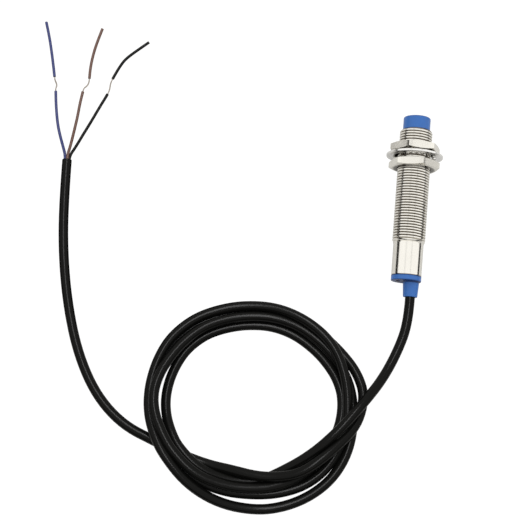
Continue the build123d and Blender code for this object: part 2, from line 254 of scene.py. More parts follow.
def make_finish(
    name,
    colour,
    second,
    roughness,
    spread=0.08,
    blotch=200.0,
    grain=3000.0,
    bump=0.00001,
    metallic=0.0,
    coat=0.0,
    turned_lines=0.0,
    specular=0.5,
):
    """A material with uneven tone, fine surface grain and, where asked for, turning lines."""
    material = bpy.data.materials.new(name)
    material.use_nodes = True
    tree = material.node_tree
    shader = tree.nodes["Principled BSDF"]
    place = add_node(tree, "ShaderNodeTexCoord").outputs["Object"]
    tone = add_node(tree, "ShaderNodeGroup", node_tree=uneven)
    tree.links.new(place, tone.inputs["Place"])
    tone.inputs["Colour"].default_value = (*colour, 1)
    tone.inputs["Second colour"].default_value = (*second, 1)
    tone.inputs["Blotch scale"].default_value = blotch
    tone.inputs["Grain scale"].default_value = grain
    tone.inputs["Roughness"].default_value = roughness
    tone.inputs["Roughness spread"].default_value = spread
    tree.links.new(tone.outputs["Colour"], shader.inputs["Base Color"])
    tree.links.new(tone.outputs["Roughness"], shader.inputs["Roughness"])
    shader.inputs["Metallic"].default_value = metallic
    shader.inputs["Coat Weight"].default_value = coat
    shader.inputs["Coat Roughness"].default_value = 0.12
    shader.inputs["Specular IOR Level"].default_value = specular
    relief = add_node(tree, "ShaderNodeBump", {"Height": tone.outputs["Grain"], "Distance": bump})
    if turned_lines:
        lathe = add_node(tree, "ShaderNodeGroup", {"Place": place}, node_tree=turning)
        cut = add_node(
            tree,
            "ShaderNodeBump",
            {
                "Height": lathe.outputs["Lines"],
                "Distance": turned_lines,
                "Normal": relief.outputs["Normal"],
            },
        )
        relief = cut
    tree.links.new(relief.outputs["Normal"], shader.inputs["Normal"])
    return material


def paint_shade(material, shade_group, colour, settings):
    """Paint shade into a material's colour where a shade group says so."""
    tree = material.node_tree
    shader = tree.nodes["Principled BSDF"]
    unshaded_colour = shader.inputs["Base Color"].links[0].from_socket
    place = add_node(tree, "ShaderNodeTexCoord").outputs["Object"]
    shade = add_node(tree, "ShaderNodeGroup", {"Place": place, **settings}, node_tree=shade_group)
    shaded_colour = add_node(
        tree, "ShaderNodeMixRGB", {0: shade.outputs["Shade"], 1: unshaded_colour, 2: (*colour, 1)}
    )
    tree.links.new(shaded_colour.outputs[0], shader.inputs["Base Color"])


# ---------------------------------------------------------------------------------------------
# Barrel: a nickel-plated brass tube, turned on a lathe. An M12 x 1 thread is cut from the smooth
# tail to the chamfered front end, and the bore takes the electronics. The real thread is
# right-hand, and the ridges here wind the other way.
# ---------------------------------------------------------------------------------------------
BARREL_LENGTH = 54.5
BARREL_BORE = 4.75
TAIL_RADIUS = 5.5
TAIL_LENGTH = 12.0
THREAD_RADIUS = 6.0
THREAD_ROOT = 5.46
THREAD_PITCH = 1.0
THREAD_CREST = 0.5
CREST_SOFTENING = 0.05
RUN_OUT = 1.2  # the thread fades in over this length
FRONT_CHAMFER = 0.5
TAIL_EDGE = 0.3
ROUND_STEPS = 96

nickel = make_finish(
    "Bright nickel plate",
    (0.84, 0.825, 0.785),
    (0.80, 0.78, 0.735),
    roughness=0.14,
    spread=0.10,
    blotch=260.0,
    bump=0.000004,
    metallic=1.0,
    turned_lines=0.000006,
)


WELD_DISTANCE, SLIVER_LENGTH = 1e-6, 1e-7
SHARP_ANGLE = radians(32)


def add_piece(name, points, faces, body, material, slot, *nodes):
    """A mesh piece that rides on a body and stands for the CAD nodes named after it."""
    mesh = bpy.data.meshes.new(name)
    mesh.from_pydata(points, [], faces)
    shell = bmesh.new()
    shell.from_mesh(mesh)
    bmesh.ops.remove_doubles(shell, verts=shell.verts, dist=WELD_DISTANCE)
    bmesh.ops.dissolve_degenerate(shell, edges=shell.edges, dist=SLIVER_LENGTH)
    bmesh.ops.recalc_face_normals(shell, faces=shell.faces)
    shell.to_mesh(mesh)
    shell.free()
    mesh.polygons.foreach_set("use_smooth", [True] * len(mesh.polygons))
    mesh.set_sharp_from_angle(angle=SHARP_ANGLE)
    piece = bpy.data.objects.new(name, mesh)
    bpy.context.collection.objects.link(piece)
    mesh.materials.append(material)
    shading = piece.modifiers.new("Level shading on flats", "WEIGHTED_NORMAL")
    shading.keep_sharp = True
    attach(piece, body)
    if nodes:
        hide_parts(*nodes)
    return piece


def band_faces(rings, sides):
    """Faces between rings of points, where each ring is closed."""
    faces = []
    for ring in range(rings - 1):
        for step in range(sides):
            after = (step + 1) % sides
            near, far = ring * sides, (ring + 1) * sides
            faces.append((near + step, near + after, far + after, far + step))
    return faces


def join_to(points, faces, more_points, more_faces):
    """Add a second shape's points and faces to a first one's."""
    first = len(points)
    points += more_points
    faces += [tuple(first + index for index in face) for face in more_faces]


def around_axis(outline_at, steps=ROUND_STEPS, angles=None):
    """Points and faces of a closed outline carried round the axis. outline_at gives the outline
    at an angle as (station, radius) points, with as many points at every angle."""
    angles = angles or [2 * pi * step / steps for step in range(steps + 1)]
    points = []
    for angle in angles:
        points += [on_axis(station, radius, angle) for station, radius in outline_at(angle)]
    return points, band_faces(len(angles), len(points) // len(angles))


def thread_outline(angle):
    """The barrel's section at an angle. The ridges move forward one pitch as it grows by a turn,
    which makes the thread left-hand."""
    advance = THREAD_PITCH * angle / (2 * pi)
    flank = (THREAD_PITCH - THREAD_CREST) / 2
    ridge = (
        (0.0, 0.0),
        (flank * 0.9, 0.9),
        (flank + CREST_SOFTENING, 1.0),
        (flank + THREAD_CREST - CREST_SOFTENING, 1.0),
        (flank + THREAD_CREST + flank * 0.1, 0.9),
    )
    turns = round((BARREL_LENGTH - TAIL_LENGTH) / THREAD_PITCH)
    outline = [
        (0, BARREL_BORE),
        (0, TAIL_RADIUS - TAIL_EDGE),
        (0.3 * TAIL_EDGE, TAIL_RADIUS - 0.3 * TAIL_EDGE),
        (TAIL_EDGE, TAIL_RADIUS),
    ]
    for turn in range(-1, turns + 1):
        for offset, height in ridge:
            station = TAIL_LENGTH + THREAD_PITCH * turn + advance + offset
            station = min(max(station, TAIL_LENGTH - 0.3), BARREL_LENGTH)
            fade = min(max((station - TAIL_LENGTH + 0.3) / RUN_OUT, 0), 1)
            root = TAIL_RADIUS + (THREAD_ROOT - TAIL_RADIUS) * fade
            radius = root + (THREAD_RADIUS - root) * height * fade
            chamfer = THREAD_RADIUS - (station - (BARREL_LENGTH - FRONT_CHAMFER))
            outline.append((station, min(radius, chamfer)))
    return outline + [(BARREL_LENGTH, THREAD_RADIUS - FRONT_CHAMFER), (BARREL_LENGTH, BARREL_BORE)]


# Painted shade at the barrel's rear end, where the flange meets it, and at the bottom of the thread
paint_shade(nickel, seam_shade, (0.10, 0.09, 0.08), {"Station": 0.0, "Half width": 0.0003})
paint_shade(nickel, grooved, (0.24, 0.20, 0.14), {"Deep radius": 0.0057, "Open radius": 0.00595})

add_piece("barrel_body", *around_axis(thread_outline), "housing", nickel, "nickel", "barrel")

# ---------------------------------------------------------------------------------------------
# Sensing coil: enamelled copper wound on a moulded bobbin, which drops into an open ferrite cup.
# The cup's open side faces the front, and the coil's two ends pass back through its floor.
# ---------------------------------------------------------------------------------------------
sensing_finishes = {
    "ferrite_core": make_finish(
        "Sintered ferrite",
        (0.05, 0.05, 0.055),
        (0.03, 0.03, 0.03),
        0.55,
        blotch=600.0,
    ),
    "coil_bobbin": make_finish(
        "Natural nylon",
        (0.72, 0.70, 0.62),
        (0.68, 0.65, 0.56),
        0.5,
        blotch=400.0,
    ),
    "coil_winding": make_finish(
        "Enamelled copper",
        (0.62, 0.25, 0.09),
        (0.50, 0.18, 0.06),
        0.28,
        metallic=1.0,
        turned_lines=0.00004,
    ),
    "coil_leads": make_finish(
        "Enamelled copper ends",
        (0.62, 0.25, 0.09),
        (0.5, 0.18, 0.06),
        0.3,
        metallic=1.0,
    ),
}


def dress(finishes):
    """Give CAD nodes their materials."""
    for node, material in finishes.items():
        mesh = frame["nodes"][node].data
        mesh.materials.clear()
        mesh.materials.append(material)


dress(sensing_finishes)

# ---------------------------------------------------------------------------------------------
# Circuit board: green glass-fibre board with moulded black chips, ceramic capacitors and chip
# resistors soldered to both sides. Tinned legs join it to the indicator light.
# ---------------------------------------------------------------------------------------------
moulded_chip = make_finish(
    "Moulded chip epoxy",
    (0.035, 0.035, 0.038),
    (0.05, 0.05, 0.05),
    0.6,
    blotch=900.0,
)
tinned_wire = make_finish(
    "Tinned wire",
    (0.62, 0.58, 0.54),
    (0.16, 0.12, 0.09),
    0.34,
    spread=0.15,
    blotch=1800.0,
    metallic=1.0,
)
dress(
    {
        "circuit_board": make_finish(
            "Green board",
            (0.02, 0.16, 0.07),
            (0.03, 0.20, 0.09),
            0.35,
            coat=0.3,
        ),
        "oscillator_chip": moulded_chip,
        "output_transistor": moulded_chip,
        "voltage_regulator": moulded_chip,
        "protection_diode": moulded_chip,
        "resistors": moulded_chip,
        "capacitors": make_finish(
            "Chip ceramic",
            (0.42, 0.30, 0.18),
            (0.35, 0.24, 0.14),
            0.5,
            blotch=900.0,
        ),
        "light_legs": tinned_wire,
        "resin_plug": make_finish(
            "Cured resin",
            (0.02, 0.02, 0.022),
            (0.03, 0.03, 0.03),
            0.18,
            coat=0.4,
        ),
    }
)

# ---------------------------------------------------------------------------------------------
# Caps: two mouldings in the same blue plastic, pressed into the barrel's ends. The front one is
# a plain cup over the coil. The rear one has a flange, and a tapered neck set to one side that
# guards the cable where it leaves. An indicator light sits in the flange beside the neck.
# ---------------------------------------------------------------------------------------------
CAP_RADIUS = 5.0
CAP_FRONT = 59.5
CAP_SKIRT = 6.0
CAP_INSIDE = 4.2
CAP_FACE_INSIDE = 58.8
REAR_SKIRT = 5
REAR_SKIRT_INSIDE = 4.0
SKIRT_RADIUS = 4.7
NEAR_AXIS = 0.001  # outlines stop just short of the axis
FLANGE_RADIUS = 5.5
FLANGE_REAR = -2.0
NECK_OFFSET = 1.9
NECK_ROOT = 2.95
NECK_TIP = 2.6
NECK_END = -7.6
CABLE_RADIUS = 1.8
LIGHT_OFFSET = -2.9
LIGHT_RADIUS = 0.95
CORNER_STEPS = 5

blue_plastic = make_finish(
    "Blue moulding",
    (0.042, 0.165, 0.530),
    (0.037, 0.145, 0.470),
    roughness=0.36,
    spread=0.10,
    blotch=350.0,
    grain=5000.0,
    bump=0.000006,
    coat=0.08,
    specular=0.28,
)
# Painted shade: dark lines at the barrel's two ends and at the front edge, and over the flange's
# shaded rear face
for seam, half_width in (
    (0.0, 0.0005),
    (BARREL_LENGTH, 0.0005),
    (CAP_FRONT, 0.00035),
    (FLANGE_REAR - 0.12, 0.00055),
):
    at_seam = {"Station": seam * MM, "Half width": half_width}
    paint_shade(blue_plastic, seam_shade, (0.006, 0.018, 0.09), at_seam)


def rounded(*corners):
    """A closed outline of (station, radius) corners. A corner's third value rounds it off."""
    outline = []
    for index, (station, radius, *fillet) in enumerate(corners):
        corner = Vector((station, radius))
        if not fillet:
            outline.append((station, radius))
            continue
        before = Vector(corners[index - 1][:2]) - corner
        after = Vector(corners[(index + 1) % len(corners)][:2]) - corner
        reach = fillet[0] / tan(before.angle(after) / 2)
        start = corner + before.normalized() * reach
        end = corner + after.normalized() * reach
        for step in range(CORNER_STEPS + 1):
            t = step / CORNER_STEPS
            outline.append(tuple(start * (1 - t) ** 2 + corner * 2 * t * (1 - t) + end * t**2))
    return outline


def turned(name, outline, body, material, slot, *nodes):
    """A piece turned about the axis from a closed outline."""
    return add_piece(name, *around_axis(lambda angle: outline), body, material, slot, *nodes)


turned(
    "front_cap",
    rounded(
        (BARREL_LENGTH - CAP_SKIRT, CAP_INSIDE),
        (BARREL_LENGTH - CAP_SKIRT, SKIRT_RADIUS),
        (BARREL_LENGTH, SKIRT_RADIUS),
        (BARREL_LENGTH, CAP_RADIUS, 0.08),
        (CAP_FRONT, CAP_RADIUS, 0.38),
        (CAP_FRONT, NEAR_AXIS),
        (CAP_FACE_INSIDE, NEAR_AXIS),
        (CAP_FACE_INSIDE, CAP_INSIDE),
    ),
    "housing",
    blue_plastic,
    "blue_plastic",
    "sensing_cap",
)


def rear_cap_mesh():
    """The rear moulding: the flange and skirt turned about the axis, and the neck about its own."""
    ring = rounded(
        (0, REAR_SKIRT_INSIDE),
        (REAR_SKIRT, REAR_SKIRT_INSIDE),
        (REAR_SKIRT, SKIRT_RADIUS),
        (0, SKIRT_RADIUS),
        (0, FLANGE_RADIUS, 0.06),
        (FLANGE_REAR, FLANGE_RADIUS, 0.3),
        (FLANGE_REAR, NEAR_AXIS),
        (0, NEAR_AXIS),
    )
    points, faces = around_axis(lambda angle: ring)
    shift = ACROSS * NECK_OFFSET * MM
    neck = rounded(
        (FLANGE_REAR - 0.02, CABLE_RADIUS + 0.02),
        (FLANGE_REAR - 0.02, NECK_ROOT + 0.3),
        (FLANGE_REAR - 0.30, NECK_ROOT, 0.25),
        (NECK_END, NECK_TIP, 0.3),
        (NECK_END, CABLE_RADIUS + 0.02, 0.12),
    )
    neck_points, neck_faces = around_axis(lambda angle: neck)
    join_to(points, faces, [point + shift for point in neck_points], neck_faces)
    return points, faces


add_piece("rear_cap", *rear_cap_mesh(), "housing", blue_plastic, "blue_plastic", "end_cap")

light_lens = make_finish(
    "Dark red lens",
    (0.035, 0.004, 0.006),
    (0.025, 0.003, 0.005),
    roughness=0.2,
    spread=0.04,
    coat=0.3,
)


def light_mesh():
    """The light's domed lens, which stands a little proud of the flange."""
    dome = rounded(
        (0.9, NEAR_AXIS),
        (0.9, LIGHT_RADIUS),
        (FLANGE_REAR - 0.22, LIGHT_RADIUS, 0.5),
        (FLANGE_REAR - 0.35, NEAR_AXIS),
    )
    points, faces = around_axis(lambda angle: dome, 32)
    return [point + ACROSS * LIGHT_OFFSET * MM for point in points], faces


add_piece("light_lens", *light_mesh(), "housing", light_lens, "light_lens", "indicator_light")

# ---------------------------------------------------------------------------------------------
# Jam nuts: two thin hexagon nuts, turned and chamfered from brass bar and nickel-plated. They
# clamp a panel between them, and each has its corners cut back by a shallow cone on both faces.
# ---------------------------------------------------------------------------------------------
NUT_ACROSS_FLATS = 16.5
NUT_THICKNESS = 3.0
NUT_BORE = 6.06
NUT_FACE_RADIUS = 7.9
NUT_CONE_SLOPE = 0.307
NUT_MOUTH = 0.35
NUT_EDGE = 0.07
FRONT_NUT = 46.2
FRONT_NUT_CORNER = -10.0
REAR_NUT = 40.0
REAR_NUT_CORNER = 15.6
FLAT_STEPS = 14

nut_nickel = make_finish(
    "Nickel plate on the nuts",
    (0.85, 0.835, 0.79),
    (0.80, 0.78, 0.73),
    roughness=0.15,
    spread=0.10,
    blotch=420.0,
    bump=0.000006,
    metallic=1.0,
)


# Painted shade on the bearing faces near the thread, where little light reaches
paint_shade(nut_nickel, grooved, (0.09, 0.082, 0.068), {"Deep radius": 0.0072, "Open radius": 0.0080})


def jam_nut(name, station, first_corner, body, node):
    """A thin hexagon nut with one corner at an angle from +X."""
    corner_radius = NUT_ACROSS_FLATS / 2 / cos(pi / 6)

    def outline_at(angle):
        from_corner = (angle - radians(first_corner)) % (pi / 3)
        outer = NUT_ACROSS_FLATS / 2 / cos(from_corner - pi / 6)
        outer = min(outer, corner_radius - 0.05)
        drop = (outer - NUT_FACE_RADIUS) * NUT_CONE_SLOPE
        front = station + NUT_THICKNESS
        return [
            (station + NUT_MOUTH, NUT_BORE),
            (station, NUT_BORE + NUT_MOUTH),
            (station, NUT_FACE_RADIUS - NUT_EDGE),
            (station + NUT_EDGE * 0.2, NUT_FACE_RADIUS),
            (station + drop, outer - NUT_EDGE),
            (station + drop + NUT_EDGE * 0.5, outer - NUT_EDGE * 0.3),
            (station + drop + NUT_EDGE * 1.5, outer),
            (front - drop - NUT_EDGE * 1.5, outer),
            (front - drop - NUT_EDGE * 0.5, outer - NUT_EDGE * 0.3),
            (front - drop, outer - NUT_EDGE),
            (front - NUT_EDGE * 0.2, NUT_FACE_RADIUS),
            (front, NUT_FACE_RADIUS - NUT_EDGE),
            (front, NUT_BORE + NUT_MOUTH),
            (front - NUT_MOUTH, NUT_BORE),
        ]

    steps = 6 * FLAT_STEPS
    angles = [radians(first_corner) + 2 * pi * step / steps for step in range(steps + 1)]
    shape = around_axis(outline_at, angles=angles)
    return add_piece(name, *shape, body, nut_nickel, "nickel", node)


jam_nut("nut_in_front", FRONT_NUT, FRONT_NUT_CORNER, "front_jam_nut", "front_nut")
jam_nut("nut_behind", REAR_NUT, REAR_NUT_CORNER, "rear_jam_nut", "rear_nut")

# ---------------------------------------------------------------------------------------------
# Lock washer: a ring stamped from spring steel and plated. The teeth on its inside are twisted
# so that their edges bite into the nut and the panel.
# ---------------------------------------------------------------------------------------------
WASHER_STATION = 44.5
WASHER_THICKNESS = 0.8
WASHER_RADIUS = 10.4
WASHER_RING_INSIDE = 7.9
TOOTH_TIP = 6.35
TOOTH_COUNT = 16
TOOTH_WIDTH = 1.7
TOOTH_TWIST = 24.0
TOOTH_STEPS = 6
TOOTH_EDGE = 0.1
TOOTH_NARROWING = 0.12

washer_steel = make_finish(
    "Plated spring steel",
    (0.86, 0.855, 0.845),
    (0.78, 0.775, 0.765),
    roughness=0.20,
    spread=0.16,
    blotch=500.0,
    bump=0.000008,
    metallic=1.0,
)


def tooth_mesh(angle):
    """One tooth: a flat strip whose twist grows from the ring to the tip."""
    outwards = ACROSS * cos(angle) + UPWARD * sin(angle)
    sideways = FORWARD.cross(outwards)
    middle = AXIS_START + FORWARD * (WASHER_STATION + WASHER_THICKNESS / 2) * MM
    root = WASHER_RING_INSIDE + 0.3
    half_width, half_thickness, edge = TOOTH_WIDTH / 2, WASHER_THICKNESS / 2 - 0.02, TOOTH_EDGE
    section = (
        (half_width, half_thickness - edge),
        (half_width - edge, half_thickness),
        (edge - half_width, half_thickness),
        (-half_width, half_thickness - edge),
        (-half_width, edge - half_thickness),
        (edge - half_width, -half_thickness),
        (half_width - edge, -half_thickness),
        (half_width, edge - half_thickness),
    )
    points = []
    for step in range(TOOTH_STEPS + 1):
        share = step / TOOTH_STEPS
        twist = radians(TOOTH_TWIST) * min(share * 1.6, 1)
        narrow = 1 - TOOTH_NARROWING * share
        across = sideways * cos(twist) + FORWARD * sin(twist)
        through = FORWARD * cos(twist) - sideways * sin(twist)
        centre = middle + outwards * (root + (TOOTH_TIP - root) * share) * MM
        points += [centre + (across * x * narrow + through * y) * MM for x, y in section]
    count = len(section)
    faces = band_faces(TOOTH_STEPS + 1, count)
    faces.append(tuple(range(count)))
    faces.append(tuple(range(TOOTH_STEPS * count, (TOOTH_STEPS + 1) * count)))
    return points, faces


def washer_mesh():
    """The ring and its teeth."""
    front = WASHER_STATION + WASHER_THICKNESS
    ring = rounded(
        (WASHER_STATION, WASHER_RING_INSIDE, 0.08),
        (WASHER_STATION, WASHER_RADIUS, 0.14),
        (front, WASHER_RADIUS, 0.14),
        (front, WASHER_RING_INSIDE, 0.08),
    )
    points, faces = around_axis(lambda angle: ring)
    for number in range(TOOTH_COUNT):
        join_to(points, faces, *tooth_mesh(2 * pi * number / TOOTH_COUNT))
    return points, faces


add_piece("toothed_washer", *washer_mesh(), "washer", washer_steel, "spring_steel", "lock_washer")

# ---------------------------------------------------------------------------------------------
# Cable: round, black and soft, with three cores. It leaves the neck, rises over the side of its
# own coil, makes four loose turns, and passes out from under them to its bared end. Each turn
# wanders in and out and lies on or under its neighbours, as nothing ties them.
# ---------------------------------------------------------------------------------------------
COIL_MIDDLE = (-50.3, -77.3)
COIL_STATIONS = (-85, -146, -180, -215, -259, -310, -350, -398)
# Each turn's distance from the middle at those bearings, clockwise from the bottom
TURN_REACH = (
    (26.7, 30.9, 32.2, 32.0, 29.3, 29.0, 30.9, 29.5),
    (29.2, 33.4, 36.1, 34.0, 31.9, 32.2, 34.4, 36.9),
    (36.3, 36.5, 38.0, 38.6, 35.8, 34.6, 32.5, 33.2),
    (31.0, 34.9, 37.3, 37.2, 34.1, 35.0, 38.7, 29.6),
)
# The height of its middle there: on the table, on one turn, or on two
TURN_HEIGHT = (
    (1.8, 5.4, 1.8, 1.8, 1.8, 1.8, 1.8, 2.4),
    (5.2, 8.8, 8.6, 6.6, 5.0, 4.2, 1.8, 1.8),
    (1.8, 8.8, 5.4, 5.4, 5.1, 7.0, 5.4, 1.9),
    (1.8, 5.6, 1.8, 1.8, 1.8, 1.8, 2.8, 8.6),
)
LAST_REACH, LAST_HEIGHT = 25.1, 5.3
POINTS_PER_STRETCH = 3
POINTS_PER_TURN = POINTS_PER_STRETCH * len(COIL_STATIONS)
NECK_EXIT = AXIS_START + (FORWARD * NECK_END + ACROSS * NECK_OFFSET) * MM
FIRST_RUN = 9.5

cable_lead = [
    (-1.2, -53.5, 2.0),
    (-6.1, -64.2, 3.4),
    (-12.6, -73.9, 8.0),
    (-20.6, -84.5, 8.8),
    (-29.8, -93.7, 5.4),
    (-41.0, -100.8, 2.2),
]
cable_tail = [
    (-56.6, -100.8, 4.0),
    (-64.4, -99.7, 1.9),
    (-73.5, -97.4, CABLE_RADIUS),
    (-84.5, -93.2, CABLE_RADIUS),
    (-97.0, -88.3, CABLE_RADIUS),
    (-107.8, -78.5, CABLE_RADIUS),
    (-116.0, -64.4, CABLE_RADIUS),
    (-121.8, -47.9, CABLE_RADIUS),
    (-126.0, -29.9, CABLE_RADIUS),
    (-128.7, -10.4, CABLE_RADIUS),
    (-129.9, 8.9, CABLE_RADIUS),
]


def in_coil(bearing, reach, height):
    """The point at a bearing, a distance from the coil's middle and a height."""
    x, y = COIL_MIDDLE
    return x + reach * cos(bearing), y + reach * sin(bearing), height


def coil_points():
    """The coil's turns. Between two bearings, the reach and height ease from one to the next."""
    stops = []
    for turn, (reaches, heights) in enumerate(zip(TURN_REACH, TURN_HEIGHT)):
        for bearing, reach, height in zip(COIL_STATIONS, reaches, heights):
            stops.append((bearing - 360 * turn, reach, height))
    stops.append((COIL_STATIONS[0] - 360 * len(TURN_REACH), LAST_REACH, LAST_HEIGHT))
    points = []
    for before, after in zip(stops, stops[1:]):
        for step in range(POINTS_PER_STRETCH):
            share = step / POINTS_PER_STRETCH
            eased = share * share * (3 - 2 * share)
            bearing = radians(before[0] + (after[0] - before[0]) * share)
            # the spline runs a little inside its points
            reach = (before[1] + (after[1] - before[1]) * eased) / cos(pi / POINTS_PER_TURN)
            height = before[2] + (after[2] - before[2]) * eased
            points.append(in_coil(bearing, reach, height))
    points.append(in_coil(radians(stops[-1][0]), LAST_REACH, LAST_HEIGHT))
    return points


def add_line(name, points, radius, material):
    """A round cord along a smooth spline through the frame, with flat ends."""
    line = bpy.data.curves.new(name, "CURVE")
    line.dimensions = "3D"
    line.bevel_depth = radius
    line.bevel_resolution = 7
    line.resolution_u = 6
    line.use_fill_caps = True
    spline = line.splines.new("NURBS")
    spline.points.add(len(points) - 1)
    for knot, point in zip(spline.points, points):
        knot.co = (*point, 1)
    spline.order_u = 3
    spline.use_endpoint_u = True
    line.materials.append(material)
    piece = bpy.data.objects.new(name, line)
    bpy.context.collection.objects.link(piece)
    return piece


cable_jacket = make_finish(
    "Black PVC",
    (0.0024, 0.0024, 0.0022),
    (0.0034, 0.0033, 0.0031),
    roughness=0.22,
    spread=0.06,
    blotch=140.0,
    grain=6000.0,
    bump=0.000008,
    specular=0.075,
)

cable_route = [tuple(NECK_EXIT), tuple(NECK_EXIT - FORWARD * FIRST_RUN * MM)]
on_table = cable_lead + coil_points() + cable_tail
cable_route += [tuple(value * MM for value in point) for point in on_table]
cable = add_line("cable", cable_route, CABLE_RADIUS * MM, cable_jacket)
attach(cable, "housing")
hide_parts("cable_lead", "cable_coil", "cable_tail")
dress({"cable_entry": cable_jacket})

# ---------------------------------------------------------------------------------------------
# Cores: three insulated wires that fan out of the cable's cut end. Each has a bare stretch where
# its insulation was slit and slid towards the tip, and the slid piece still covers the strands
# there. Brown lies over black where they leave the jacket.
# ---------------------------------------------------------------------------------------------
CORE_RADIUS = 0.55
CORE_END_ROUNDING = 0.06
CONDUCTOR_RADIUS = 0.16
STRAND_RADIUS = 0.10
STRANDS = 7
STRAND_SIDES = 8
STRAND_LOOSENESS = 0.25
STRAND_LAY = 5.5  # one twist of the strands in this length
JACKET_END = Vector(cable_tail[-1])
JACKET_WAY = (JACKET_END - Vector(cable_tail[-2])).normalized()


def from_jacket(across, rise, run=0.0):
    """A point level with the jacket's cut end, or a run beyond it."""
    side = JACKET_WAY.cross(Vector((0, 0, 1)))
    return JACKET_END + side * across + Vector((0, 0, rise)) + JACKET_WAY * run


core_routes = {
    "blue": [
        from_jacket(-0.85, -0.35),
        from_jacket(-0.85, -0.35, 2.0),
        (-132.2, 14.2, 1.0),
        (-134.1, 18.8, CORE_RADIUS),
        (-135.6, 23.2, CORE_RADIUS),
        (-136.8, 28.4, CORE_RADIUS),
        (-137.7, 33.2, CORE_RADIUS),
        (-138.25, 36.9, CORE_RADIUS),
        (-138.45, 38.0, CORE_RADIUS),
        (-138.1, 39.1, CORE_RADIUS),
        (-138.5, 40.3, CORE_RADIUS),
        (-139.2, 41.4, CORE_RADIUS),
        (-139.5, 42.7, CORE_RADIUS),
        (-140.8, 48.1, CORE_RADIUS),
        (-142.3, 53.9, CORE_RADIUS),
        (-144.0, 59.9, CORE_RADIUS),
        (-145.9, 65.5, CORE_RADIUS),
    ],
    "brown": [
        from_jacket(0.25, 0.85),
        from_jacket(0.25, 0.85, 2.0),
        (-129.35, 14.4, 2.0),
        (-129.0, 20.6, 0.9),
        (-128.5, 27.1, CORE_RADIUS),
        (-128.3, 32.6, CORE_RADIUS),
        (-127.8, 37.6, CORE_RADIUS),
        (-127.66, 39.0, CORE_RADIUS),
        (-126.3, 40.3, CORE_RADIUS),
        (-125.95, 41.85, CORE_RADIUS),
        (-126.0, 43.1, CORE_RADIUS),
        (-126.2, 48.1, CORE_RADIUS),
        (-125.8, 53.6, CORE_RADIUS),
        (-124.9, 59.1, CORE_RADIUS),
        (-123.6, 64.6, CORE_RADIUS),
    ],
    "black": [
        from_jacket(0.75, -0.6),
        from_jacket(0.75, -0.6, 2.0),
        (-127.7, 14.3, 0.8),
        (-125.5, 19.9, CORE_RADIUS),
        (-123.0, 25.7, CORE_RADIUS),
        (-120.6, 31.7, CORE_RADIUS),
        (-118.2, 37.3, CORE_RADIUS),
        (-117.6, 39.3, CORE_RADIUS),
        (-117.6, 42.0, CORE_RADIUS),
        (-117.1, 43.7, CORE_RADIUS),
        (-115.9, 46.8, CORE_RADIUS),
        (-114.8, 49.4, CORE_RADIUS),
        (-113.6, 51.7, CORE_RADIUS),
        (-112.3, 53.4, CORE_RADIUS),
        (-109.4, 56.3, CORE_RADIUS),
        (-104.8, 60.5, CORE_RADIUS),
    ],
}
# Where each core's bare stretch starts and ends
bare_stretches = {
    "blue": ((-138.25, 36.9), (-139.5, 42.7)),
    "brown": ((-127.8, 37.6), (-126.0, 43.1)),
    "black": ((-118.2, 37.3), (-117.1, 43.7)),
}
core_finishes = {
    "blue": make_finish(
        "Blue core",
        (0.026, 0.033, 0.120),
        (0.020, 0.026, 0.095),
        0.38,
        blotch=500.0,
        specular=0.3,
    ),
    "brown": make_finish(
        "Brown core",
        (0.092, 0.046, 0.034),
        (0.075, 0.038, 0.028),
        0.38,
        blotch=500.0,
        specular=0.3,
    ),
    "black": make_finish(
        "Black core",
        (0.0030, 0.0030, 0.0030),
        (0.0045, 0.0045, 0.0042),
        0.36,
        blotch=500.0,
        specular=0.09,
    ),
}


def spline_points(line):
    """Points along a cord's own spline, in the row frame, read from a copy without thickness."""
    bare = line.copy()
    bare.data = line.data.copy()
    bare.data.bevel_depth = 0
    mesh = bpy.data.meshes.new_from_object(bare)
    points = [vertex.co.copy() for vertex in mesh.vertices]
    bpy.data.meshes.remove(mesh)
    bpy.data.curves.remove(bare.data)
    return points


def nearest(points, place):
    """The index of the point nearest to a place on the table, in millimetres."""
    target = Vector(place) * MM
    return min(range(len(points)), key=lambda index: (points[index].xy - target).length)


def length_along(points):
    """The length of a line of points."""
    return sum((b - a).length for a, b in zip(points, points[1:]))


def way_at(points, index):
    """A line's direction at one of its points, with the level way across it and the way up."""
    ahead, back = points[min(index + 1, len(points) - 1)], points[max(index - 1, 0)]
    way = (ahead - back).normalized()
    side = way.cross(Vector((0, 0, 1))).normalized()
    return way, side, side.cross(way)


def tube_mesh(points, radius, sides=18, end_rounding=0.0):
    """A tube along points, with its ends closed and slightly rounded."""
    rings = [(point, *way_at(points, index), radius) for index, point in enumerate(points)]
    last = len(points) - 1
    if end_rounding:
        for end, sign in ((0, -1), (last, 1)):
            point, way, side, rise, _ = rings[end]
            rings[end] = (point - way * sign * end_rounding, way, side, rise, radius)
            cap = (point, way, side, rise, radius - end_rounding)
            rings = [cap] + rings if end == 0 else rings + [cap]
            last += 1
    vertices = []
    for point, _, side, rise, size in rings:
        for step in range(sides):
            angle = 2 * pi * step / sides
            vertices.append(point + (side * cos(angle) + rise * sin(angle)) * size)
    faces = band_faces(len(rings), sides)
    faces.append(tuple(range(sides)))
    faces.append(tuple(range((len(rings) - 1) * sides, len(rings) * sides)))
    return vertices, faces


def strands_mesh(points):
    """Fine wires that twist round the conductor along a bare stretch."""
    vertices, faces = [], []
    length = length_along(points)
    twists = 2 * pi * length / (STRAND_LAY * MM)
    for strand in range(STRANDS):
        path = []
        for index, point in enumerate(points):
            _, side, rise = way_at(points, index)
            angle = 2 * pi * strand / STRANDS + twists * index / (len(points) - 1)
            loose = CONDUCTOR_RADIUS * (1 + STRAND_LOOSENESS * sin(3 * angle + strand))
            path.append(point + (side * cos(angle) + rise * sin(angle)) * loose * MM)
        join_to(vertices, faces, *tube_mesh(path, STRAND_RADIUS * MM, STRAND_SIDES))
    return vertices, faces


